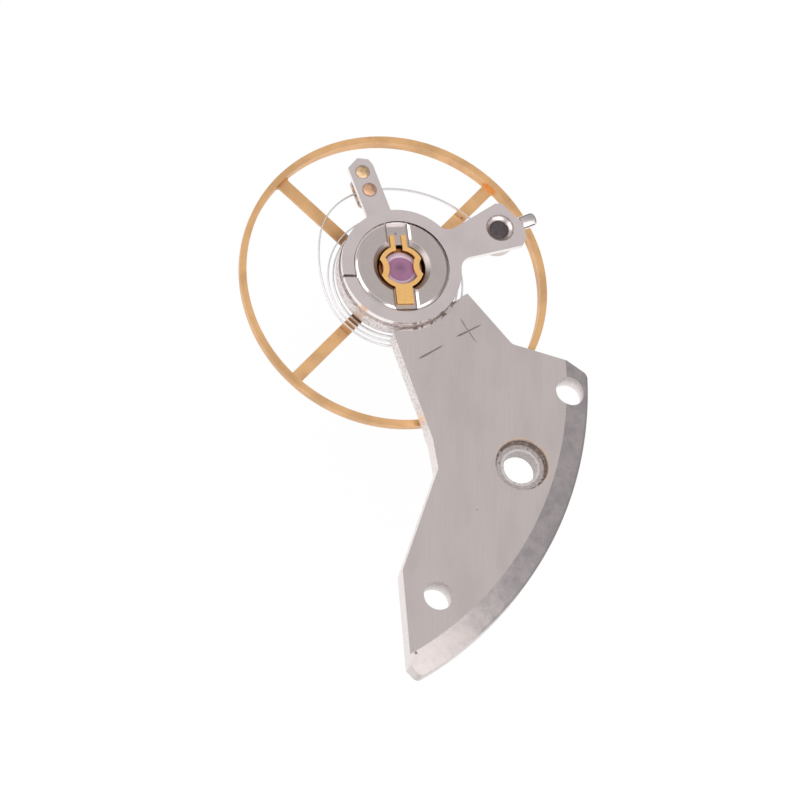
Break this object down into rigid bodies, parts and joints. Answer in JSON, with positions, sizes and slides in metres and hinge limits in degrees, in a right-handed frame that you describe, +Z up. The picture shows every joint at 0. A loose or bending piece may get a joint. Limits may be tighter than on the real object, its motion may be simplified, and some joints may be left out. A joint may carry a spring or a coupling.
{
  "type": "watch balance with cock",
  "caption": "Watch balance complete: spoked wheel, staff, hairspring and roller hung under a flat cock with shock-set jewels, a regulator with curb pins and a stud carrier.",
  "frame": {"origin": "axis of the cock's screw hole, in the plane of the seat that rests on the main plate", "axes": "+Z up out of the cock's top, along the screw and the balance staff; +Y from the screw towards the staff"},
  "size_m": [0.0119, 0.0173, 0.0038],
  "materials": {
    "nickel_plated_brass": "straight-grained nickel plate",
    "polished_steel": "fine-ground with polished bevels",
    "gilt_brass": "turned and gilt",
    "wheel_gilt": "gilt beryllium bronze, fine-turned",
    "gilt_spring": "gilt flat spring",
    "copper_brass": "turned, riveted",
    "dark_steel": "dark ground steel",
    "spring_alloy": "rolled spring strip",
    "ruby": "polished synthetic ruby"
  },
  "bodies": {
    "cock": {"balance_cock": "nickel_plated_brass", "shock_block": "polished_steel"},
    "shock_setting": {"jewel_setting": "gilt_brass", "hole_jewel": "ruby", "cap_jewel": "ruby"},
    "lyre": {"shock_spring": "gilt_spring"},
    "regulator": {"regulator": "polished_steel", "curb_pin": "copper_brass"},
    "curb_boot": {"curb_boot": "copper_brass"},
    "stud_carrier": {"stud_carrier": "polished_steel", "hairspring_stud": "dark_steel", "stud_screw": "polished_steel", "stud_pin": "gilt_brass"},
    "balance": {"balance_wheel": "wheel_gilt", "balance_staff": "polished_steel", "hairspring_collet": "gilt_brass", "collet_pin": "gilt_brass", "hairspring": "spring_alloy", "roller_table": "gilt_brass", "safety_roller": "gilt_brass", "impulse_jewel": "ruby"}
  },
  "joints": [
    {"name": "stud_carrier_turn", "type": "hinge", "parent": "cock", "child": "stud_carrier", "pos_m": [0, 0.0076, 0], "axis": [0, 0, 1], "range_deg": [-20, 20]},
    {"name": "balance_swing", "type": "hinge", "parent": "stud_carrier", "child": "balance", "pos_m": [0, 0.0076, 0], "axis": [0, 0, 1], "range_deg": [-300, 300], "stiffness_Nm_per_rad": 0.00000016, "deforming": ["hairspring"]},
    {"name": "regulator_turn", "type": "hinge", "parent": "cock", "child": "regulator", "pos_m": [0, 0.0076, 0], "axis": [0, 0, 1], "range_deg": [-25, 25]},
    {"name": "curb_boot_turn", "type": "hinge", "parent": "regulator", "child": "curb_boot", "pos_m": [0.00055, 0.01043, 0], "axis": [0, 0, 1], "range_deg": [0, 90]},
    {"name": "shock_spring_open", "type": "hinge", "parent": "cock", "child": "lyre", "pos_m": [-0.00054, 0.00644, 0.00089], "axis": [0.9063, -0.4226, 0], "range_deg": [0, 100]},
    {"name": "shock_setting_lift", "type": "slide", "parent": "cock", "child": "shock_setting", "axis": [0, 0, 1], "range_m": [0, 0.00005], "stiffness_N_per_m": 20}
  ]
}
